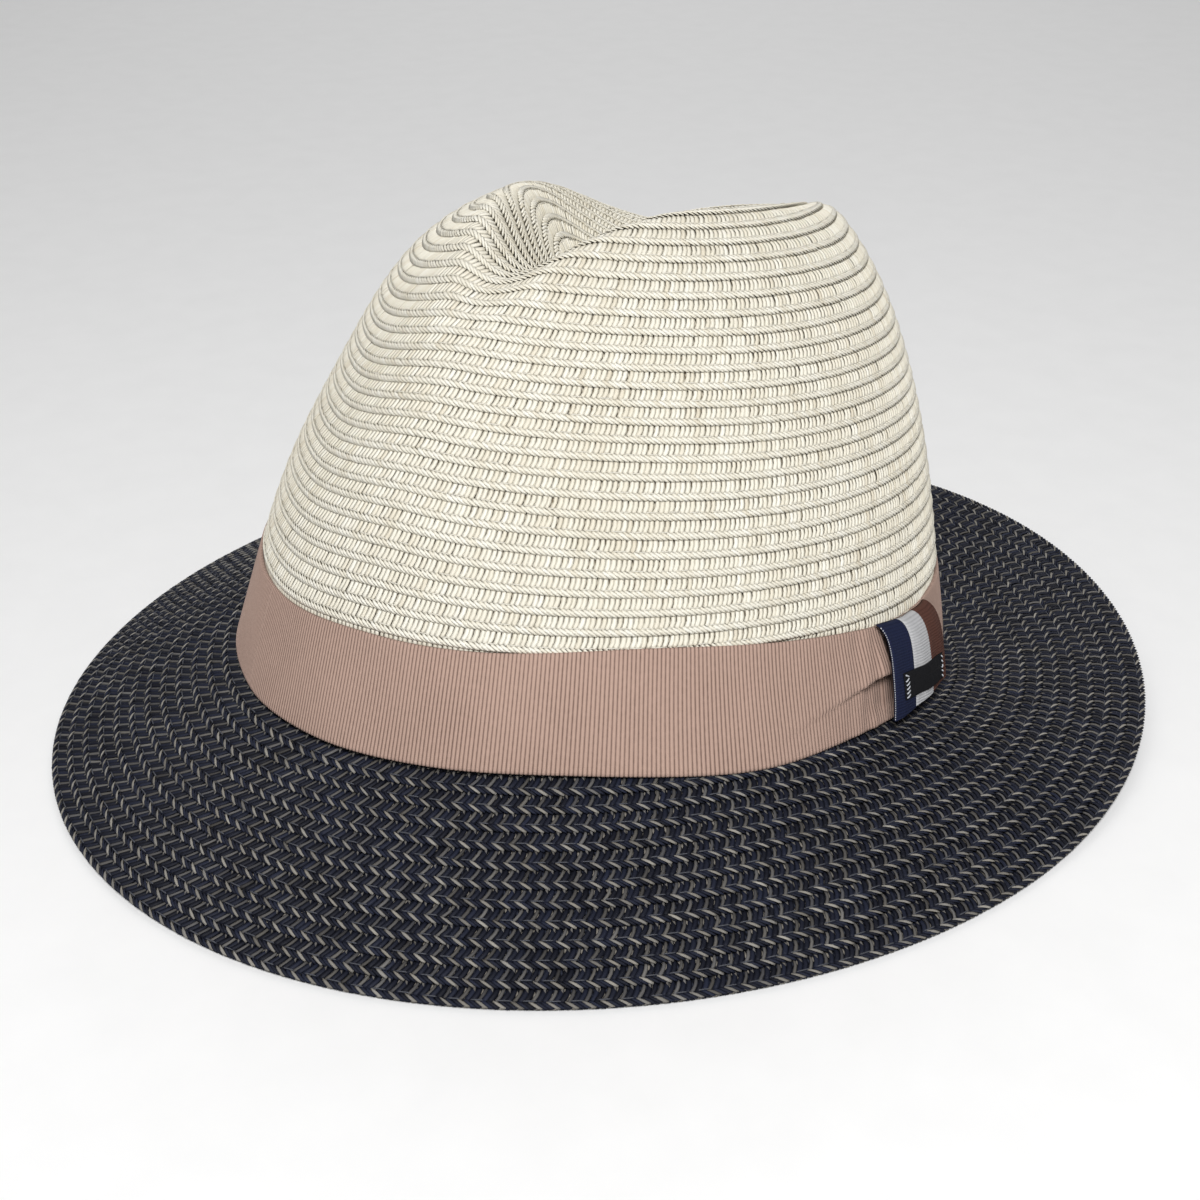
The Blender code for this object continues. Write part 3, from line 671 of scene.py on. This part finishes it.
def build_crown(light, thread, back):
    edges = lap_edges()
    hidden = share_at(BAND_HEIGHT - STRANDS_UNDER_BAND)
    strands, threads = Strands(), Strands()
    for k, v0 in enumerate(edges):
        if v0 < hidden:
            continue
        v1 = edges[k + 1] if k + 1 < len(edges) else min(0.999, v0 + (v0 - edges[k - 1]))
        braid_lap(strands, threads, crown_under_ribbon, v0, v1, STRAND_PITCH, False, CROWN_BAR_LEAN)
    pieces = strands.build("crown_braid_laps", light) + threads.build("crown_sewing_thread", thread)
    levels = [share_at(CROWN_START)] + edges[1:]
    pieces.append(shell("crown_braid_back", crown_surface, levels, CROWN_THICK, back, 216, capped=True))
    for piece in pieces:
        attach(piece, "root")
        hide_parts("crown_braid")


def build_brim(dark, thread, back):
    strands, threads = Strands(), Strands()
    for k in range(BRIM_LAPS):
        braid_lap(strands, threads, brim_inward, k / BRIM_LAPS, (k + 1) / BRIM_LAPS, BRIM_STRAND_PITCH, True,
                  BRIM_BAR_LEAN, proud=-BRIM_SUNK)
    # the outermost lap is doubled: a second roll under its edge
    braid_lap(strands, None, brim_inward, -0.004, 1.0 / BRIM_LAPS, BRIM_STRAND_PITCH, True,
              BRIM_BAR_LEAN, proud=-EDGE_SUNK, edge_only=True)
    pieces = strands.build("brim_braid_laps", dark) + threads.build("brim_sewing_thread", thread)
    levels = ([BRIM_BACK_START] + [k / BRIM_LAPS for k in range(1, BRIM_LAPS)]
              + [1.0, 1.0 + BRIM_BACK_UNDER / BRIM_WIDTH])
    pieces.append(shell("brim_braid_back", brim_inward, levels, BRIM_THICK - 0.1, back, 288))
    for piece in pieces:
        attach(piece, "root")
        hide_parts("brim_braid")


# ---------------------------------------------------------------- ribbon, loop, label
RIB = 1.0                      # from one rib of the ribbon to the next
BAND_RADIUS = 92.0             # of the ribbon's own round, for counting its ribs
BAND_INSIDE = 0.25             # the ribbon's inner face stands this far off the crown
BAND_OUT, BAND_LEAST_OUT = 0.95, 0.45          # its outer face, and the least it is let sink to
FOLD_LINE, FOLD_FALL = 0.48, 0.009             # share of the height of the fold, and its fall per mm forward
FOLD_OUT, FOLD_POCKET = 3.2, 1.1               # how far it overhangs, and how deep it is tucked in under
LOOP_HEIGHT = BAND_HEIGHT + LOOP_RISE - BAND_BOTTOM
STRIPES = ("trim_stripe_navy", "trim_stripe_white", "trim_stripe_brown")
STRIPE_GAP = 0.08
LABEL_WIDTH, LABEL_SET_IN, LABEL_FOOT, LABEL_HEAD = 21.0, 3.4, 0.24, 0.50
PICKS = 42                     # light picks of the selvedge


def loop_radius():
    phi0 = radians(LOOP_ANGLE)
    return np.hypot(HEAD_HALF_WIDTH * cos(phi0), HEAD_HALF_LENGTH * sin(phi0))


def build_band(material):
    """The ribbon round the crown: ribs across it, splayed and folded where it runs under the loop."""
    rings, faces_per_rib = 40, 4
    ribs = int(round(2 * pi * BAND_RADIUS / RIB))
    columns = ribs * faces_per_rib
    phi = np.linspace(0, 2 * pi, columns, endpoint=False)
    rib = np.abs(np.sin(phi / (2 * pi) * ribs * pi))
    away = ((phi - radians(LOOP_ANGLE) + pi) % (2 * pi) - pi) * loop_radius()
    near = -away - LOOP_WIDTH / 2                   # mm from the loop's front edge, growing to the front
    beyond = away - LOOP_WIDTH / 2
    before, after = np.clip(near, 0, None), np.clip(beyond, 0, None)
    top, uv = [], []
    for k in range(rings):
        s = k / (rings - 1)
        soft = 0.20 * np.sin(phi * 7 + 1.3) * sin(pi * s) + 0.14 * np.sin(phi * 17 + 4 * s)
        # the part above a line from the loop's middle overhangs the part below, which is tucked into a pocket
        line = FOLD_LINE - FOLD_FALL * before
        over = (FOLD_OUT * np.exp(-before / 10.0) * ease((s - line + 0.015) / 0.03)
                * (1 - 0.8 * ease((s - line) / 0.6)))
        pocket = -FOLD_POCKET * np.exp(-before / 3.5) * (1 - ease((s - line) / 0.04)) * ease(s / 0.25)
        pucker = 0.35 * np.exp(-before / 8.0) * np.sin(before * 0.9 + 5 * s)
        shape = np.where(near > -3, over + pocket + pucker, 0.0)
        rest = np.where(beyond > -3, 1.4 * np.exp(-((s - 0.45) / 0.14) ** 2) * np.exp(-after / 9.0), 0.0)
        hem = 0.10 if k in (0, rings - 1) else 0.0
        out = np.maximum(BAND_OUT + soft + shape + rest + 0.15 * rib - hem, BAND_LEAST_OUT)
        top.append(on_band(phi, s, out, band_top(phi)))
        uv.append(np.stack([phi / (2 * pi) * ribs, np.full_like(phi, s * 60)], -1))
    inner = []
    for k in (rings - 1, 0):
        inner.append(on_band(phi, k / (rings - 1), np.full_like(phi, BAND_INSIDE), band_top(phi)))
        uv.append(uv[k].copy())
    rows = top + inner
    quads = grid_quads(len(rows), columns, True, True)
    piece = make_mesh("ribbon_band", np.concatenate(rows), quads, material, uv=np.concatenate(uv))
    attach(piece, "root")
    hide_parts("hatband")


def loop_point(a, share_up, out):
    """A point on the loop: a mm round from its middle, share_up its height, out from the crown wall."""
    phi = radians(LOOP_ANGLE) + a / loop_radius()
    return on_band(phi, share_up, out, band_top(phi) + LOOP_RISE)


def loop_out(a, share_up):
    """How far the loop stands off the wall: top drawn in, foot staying out, face softly uneven."""
    above = np.clip((share_up - LOOP_FULLEST) / (1 - LOOP_FULLEST), 0, 1)
    below = np.clip((LOOP_FULLEST - share_up) / LOOP_FULLEST, 0, 1)
    full = np.sqrt(1 - np.minimum(above, 0.999) ** 4) * (1 - 0.15 * below ** 2)
    return 1.5 + LOOP_BULGE * full + 0.4 * np.cos(a / LOOP_WIDTH * pi) + 0.2 * np.sin(a * 0.5 + share_up * 3)


def foot_share(a):
    """Share of the loop's height where its foot is, higher towards the back."""
    return LOOP_FOOT_FRONT + (LOOP_FOOT_REAR - LOOP_FOOT_FRONT) * np.clip(a / LOOP_WIDTH + 0.5, 0, 1)


def border_of(rows, cols):
    """The outermost points of a grid of rows x cols points, in order round it."""
    return np.array([i for i in range(cols)] + [r * cols + cols - 1 for r in range(1, rows)]
                    + [(rows - 1) * cols + i for i in range(cols - 2, -1, -1)]
                    + [r * cols for r in range(rows - 2, 0, -1)])


def patch(name, a0, a1, s0, s1, lift, thick, material, nu, nv, rib, rib_pitch, threads_across, wave):
    """A closed strip of ribbon lying on the loop, with ribs across its length."""
    aa, ss = np.meshgrid(np.linspace(a0, a1, nu), np.linspace(s0, s1, nv))
    foot = foot_share(aa)
    ss = np.where(s0 > 0, ss, foot + (1 - foot) * ss)
    ridge = rib * np.abs(np.sin(ss * LOOP_HEIGHT / rib_pitch * pi))
    edge = np.minimum((aa - a0), (a1 - aa)) / 0.5
    round_off = 0.22 * (1 - np.clip(edge, 0, 1)) ** 2
    base = loop_out(aa, ss) + lift
    front = loop_point(aa, ss, base + thick + ridge - round_off + wave * np.sin(aa * 1.1 + ss * 5))
    back = loop_point(aa, ss, base)
    one, n = grid_quads(nv, nu), nu * nv
    border = border_of(nv, nu)
    nxt = np.roll(border, -1)
    quads = np.concatenate([one, one[:, ::-1] + n, np.stack([nxt, border, border + n, nxt + n], -1)])
    flat = np.stack([ss * LOOP_HEIGHT / rib_pitch, aa * threads_across], -1).reshape(-1, 2)
    verts = np.concatenate([front.reshape(-1, 3), back.reshape(-1, 3)])
    return make_mesh(name, verts, quads, material, uv=np.concatenate([flat, flat]))


def loop_up(a, share_up):
    """The crown's normal under a point of the loop."""
    phi = radians(LOOP_ANGLE) + a / loop_radius()
    return surface_normal(crown_surface, phi, share_at(LOOP_HEIGHT * share_up))


def build_loop(materials):
    half = LOOP_WIDTH / 2
    stripe = LOOP_WIDTH / len(STRIPES)
    for k, name in enumerate(STRIPES):
        a0 = -half + k * stripe
        piece = patch(name + "_ribbon", a0 + STRIPE_GAP / 2, a0 + stripe - STRIPE_GAP / 2, 0.0, 1.0, 0.0, 0.7,
                      materials[name], 22, 150, rib=0.10, rib_pitch=0.8, threads_across=1.0, wave=0.05)
        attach(piece, "root")
        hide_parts(name)
    # light picks of the selvedge along the loop's front edge
    picks = Strands()
    s = np.linspace(LOOP_FOOT_FRONT + 0.02, 0.97, PICKS)[:, None] + np.array([-0.006, 0.0, 0.006])
    a = np.full_like(s, -half + 0.05)
    ones = np.ones_like(s)
    picks.add(loop_point(a, s, loop_out(a, s) + 0.45), loop_up(a, s), 0.13 * ones, 0.13 * ones, 5,
              np.full(PICKS, 0.6), np.zeros(PICKS))
    for piece in picks.build("trim_selvedge_picks", materials["stitch"]):
        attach(piece, "root")
        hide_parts("trim_stripe_navy")
    label0 = -half + LABEL_SET_IN
    label = patch("trim_label_woven", label0, label0 + LABEL_WIDTH, LABEL_FOOT, LABEL_HEAD, 0.75, 0.45,
                  materials["label"], 60, 24, rib=0.02, rib_pitch=0.5, threads_across=2.4, wave=0.06)
    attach(label, "root")
    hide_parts("trim_label")
    t = np.linspace(-1, 1, 5)
    for name, at, count, slant in (("label_stitch_front", label0 + 1.0, 6, 0.75),
                                   ("label_stitch_rear", label0 + 20.0, 5, 0.3)):
        stitches = Strands()
        s = np.linspace(0.27, 0.47, count)
        a = at + slant * t[None, :] + RNG.normal(0, 0.08, (count, 1))
        ss = s[:, None] + 0.012 * t[None, :] * RNG.choice([-1, 1], (count, 1))
        centre = loop_point(a, ss, loop_out(a, ss) + 1.32 + 0.14 * (1 - t[None, :] ** 2))
        ones = np.ones((count, len(t)))
        stitches.add(centre, loop_up(a, ss), 0.20 * ones, 0.17 * ones, 6, np.full(count, 0.6),
                     np.zeros(count))
        for piece in stitches.build(name + "_thread", materials["stitch"]):
            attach(piece, "root")
            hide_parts(name)


# ---------------------------------------------------------------- sweatband
SWEAT_DEPTH = CROWN_THICK + 0.35               # its outer face, in from the crown's own outer face
SWEAT_THREAD = 0.6             # from one thread of the cloth to the next
SWEAT_STITCHES, STITCH_SHARE = 170, 0.62       # stitches round it, and the share of each that is thread
TAPE_HALF_WIDTH, TAPE_MARGIN, TAPE_THREAD = 6.4, 1.2, 0.5
TAPE_COLUMNS, TAPE_ROWS = 24, 40


def build_sweatband(material):
    """Soft band inside the crown, folded at its lower edge."""
    columns = 480
    phi = np.linspace(0, 2 * pi, columns, endpoint=False)
    rows, uv = [], []
    levels = np.linspace(0, 1, 12)
    for face in (0, 1):
        for s in (levels if face == 0 else levels[::-1]):
            v = np.full_like(phi, share_at(SWEAT_BOTTOM + SWEAT_HEIGHT * s))
            ripple = 0.18 * np.sin(phi * 9 + s * 2) * s + 0.1 * np.sin(phi * 23) * s
            depth = SWEAT_DEPTH + (0.75 + ripple + 0.25 * (s < 0.05) if face else 0.0)
            normal = surface_normal(crown_surface, phi, v)
            rows.append(crown_surface(phi, v) - normal * np.reshape(depth, (-1, 1)))
            threads_up = s * SWEAT_HEIGHT / SWEAT_THREAD
            uv.append(np.stack([phi * 90 / SWEAT_THREAD, np.full_like(phi, threads_up)], -1))
    quads = grid_quads(len(rows), columns, True, True)[:, ::-1]
    band = make_mesh("sweatband_cloth", np.concatenate(rows), quads, material, uv=np.concatenate(uv))
    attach(band, "root")
    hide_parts("sweatband")


def build_sweatband_stitching(thread):
    """A row of stitches round the sweatband near its fold."""
    stitches = Strands()
    t = np.linspace(0, 1, 4)
    p = ((np.arange(SWEAT_STITCHES)[:, None] + STITCH_SHARE * t) / SWEAT_STITCHES) * 2 * pi
    v = np.full_like(p, share_at(SWEAT_BOTTOM + 2.2))
    normal = surface_normal(crown_surface, p, v)
    depth = SWEAT_DEPTH + 0.95 - 0.2 * (np.abs(t - 0.5) > 0.4)
    centre = crown_surface(p, v) - normal * depth[..., None]
    ones = np.ones_like(p)
    stitches.add(centre, -normal, 0.2 * ones, 0.16 * ones, 5, np.full(SWEAT_STITCHES, 0.5),
                 np.zeros(SWEAT_STITCHES))
    for piece in stitches.build("sweatband_stitching", thread):
        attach(piece, "root")


def build_sweatband_tape(material):
    """The tape over the sweatband's join at the back."""
    a = np.linspace(-TAPE_HALF_WIDTH, TAPE_HALF_WIDTH, TAPE_COLUMNS)
    s = np.linspace(TAPE_MARGIN, SWEAT_HEIGHT - TAPE_MARGIN, TAPE_ROWS)
    aa, hh = np.meshgrid(a, s)
    pp, vv = pi + aa / HEAD_HALF_WIDTH, share_at(SWEAT_BOTTOM + hh)
    normal = surface_normal(crown_surface, pp, vv)
    base = crown_surface(pp, vv)
    edge = np.clip(np.minimum(aa + TAPE_HALF_WIDTH, TAPE_HALF_WIDTH - aa) / 0.8, 0, 1)
    near = base - normal * (SWEAT_DEPTH + 0.9)
    far = base - normal * (SWEAT_DEPTH + 1.15 + 0.35 * np.sqrt(edge))[..., None]
    one, n = grid_quads(TAPE_ROWS, TAPE_COLUMNS), TAPE_COLUMNS * TAPE_ROWS
    border = border_of(TAPE_ROWS, TAPE_COLUMNS)
    nxt = np.roll(border, -1)
    quads = np.concatenate([one[:, ::-1], one + n, np.stack([border, nxt, nxt + n, border + n], -1)])
    flat = np.stack([aa / TAPE_THREAD, hh / TAPE_THREAD], -1).reshape(-1, 2)
    verts = np.concatenate([far.reshape(-1, 3), near.reshape(-1, 3)])
    tape = make_mesh("sweatband_tape", verts, quads, material, uv=np.concatenate([flat, flat]))
    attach(tape, "root")
    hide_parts("sweatband_join_tape")


# ---------------------------------------------------------------- floor, light, camera
CAMERA_AZIMUTH, CAMERA_ELEVATION, CAMERA_ROLL = 62.04, 25.94, -0.175
CAMERA_DISTANCE = 510.4
CAMERA_ASIDE = (13.2, -2.9)
CAMERA_SHIFT = (-0.0375, -0.0918)
CAMERA_LENS = 56.4
LOOK_HEIGHT = 60.0             # the camera and the lamps are set out from a point this high
FLOOR_SIZE = 6.0               # metres
ROOM_LIGHT = 0.17
# name, size, watts, and place: metres to the camera's right, up and towards the camera
LAMPS = (("key", 0.4, 18.0, (0.04, 0.48, 1.30)), ("top", 1.4, 7.0, (0.0, 1.5, -0.7)))


def view_axes(azimuth, elevation):
    a, e = radians(azimuth), radians(elevation)
    back = Vector((sin(a) * cos(e), -cos(a) * cos(e), sin(e)))
    right = Vector((cos(a), sin(a), 0.0))
    return right, back.cross(right), back


def build_stage():
    bpy.ops.mesh.primitive_plane_add(size=FLOOR_SIZE)
    floor = bpy.context.object
    floor.name = "floor"
    floor.data.materials.append(floor_material())
    world = bpy.data.worlds.new("studio")
    bpy.context.scene.world = world
    world.use_nodes = True
    background = world.node_tree.nodes["Background"]
    background.inputs["Color"].default_value = (1.0, 1.0, 1.0, 1.0)
    background.inputs["Strength"].default_value = ROOM_LIGHT
    bpy.context.scene.view_settings.view_transform = "Standard"
    right, up, back = view_axes(CAMERA_AZIMUTH, CAMERA_ELEVATION)
    aim = Vector((0, 0, LOOK_HEIGHT * MM))
    for name, size, power, place in LAMPS:
        light = bpy.data.lights.new(name, "AREA")
        light.energy = power
        light.size = size
        ob = bpy.data.objects.new(name, light)
        bpy.context.scene.collection.objects.link(ob)
        ob.location = right * place[0] + up * place[1] + back * place[2] + aim
        ob.rotation_euler = (aim - ob.location).to_track_quat("-Z", "Y").to_euler()


def build_camera():
    right, up, back = view_axes(CAMERA_AZIMUTH, CAMERA_ELEVATION)
    c, s = cos(radians(CAMERA_ROLL)), sin(radians(CAMERA_ROLL))
    right, up = right * c + up * s, up * c - right * s
    target = Vector((0, 0, LOOK_HEIGHT)) + right * CAMERA_ASIDE[0] + up * CAMERA_ASIDE[1] + Vector(SIT)
    data = bpy.data.cameras.new("camera")
    data.sensor_width = 36.0
    data.lens = CAMERA_LENS
    data.shift_x, data.shift_y = CAMERA_SHIFT
    data.clip_start, data.clip_end = 0.01, 50.0
    camera = bpy.data.objects.new("camera", data)
    bpy.context.scene.collection.objects.link(camera)
    turn = Matrix((right, up, back)).transposed().to_4x4()
    camera.matrix_world = Matrix.Translation((target + back * CAMERA_DISTANCE) * MM) @ turn
    bpy.context.scene.camera = camera


def main():
    light, dark = straw_light(), straw_dark()
    pale_thread = thread_material("thread_pale", (0.60, 0.55, 0.44), (0.88, 0.85, 0.76), (0.22, 0.18, 0.12))
    grey_thread = thread_material("thread_grey", (0.030, 0.032, 0.040), (0.095, 0.10, 0.12),
                                  (0.004, 0.004, 0.005))
    # the backing is painted darker than the strands: painted shade for the gaps between them
    build_crown(light, pale_thread,
                braid_back("braid_back_pale_painted_shade", (0.20, 0.15, 0.09), (0.50, 0.43, 0.32), (0.70, 0.64, 0.52)))
    build_brim(dark, grey_thread,
               braid_back("braid_back_dark_painted_shade", (0.004, 0.004, 0.006), (0.010, 0.011, 0.017),
                          (0.024, 0.028, 0.044), fleck=(0.24, 0.22, 0.19)))
    build_band(grosgrain("grosgrain_tan", (0.39, 0.268, 0.218), (0.14, 0.087, 0.068),
                         contrast=0.95, sheen=0.05))
    build_loop({
        "trim_stripe_navy": grosgrain("grosgrain_navy", (0.010, 0.014, 0.040), (0.004, 0.005, 0.014)),
        "trim_stripe_white": grosgrain("grosgrain_white", (0.43, 0.43, 0.44), (0.26, 0.26, 0.27)),
        "trim_stripe_brown": grosgrain("grosgrain_brown", (0.080, 0.034, 0.025), (0.030, 0.012, 0.009)),
        "label": woven("label_cloth", (0.003, 0.003, 0.004), (0.010, 0.010, 0.012)),
        "stitch": thread_material("thread_light", (0.30, 0.32, 0.36), (0.72, 0.74, 0.78)),
    })
    build_sweatband(woven("sweatband_cloth", (0.010, 0.010, 0.013), (0.045, 0.045, 0.052)))
    build_sweatband_stitching(grey_thread)
    build_sweatband_tape(woven("tape_cloth", (0.006, 0.006, 0.008), (0.030, 0.030, 0.036)))
    build_stage()
    build_camera()


main()
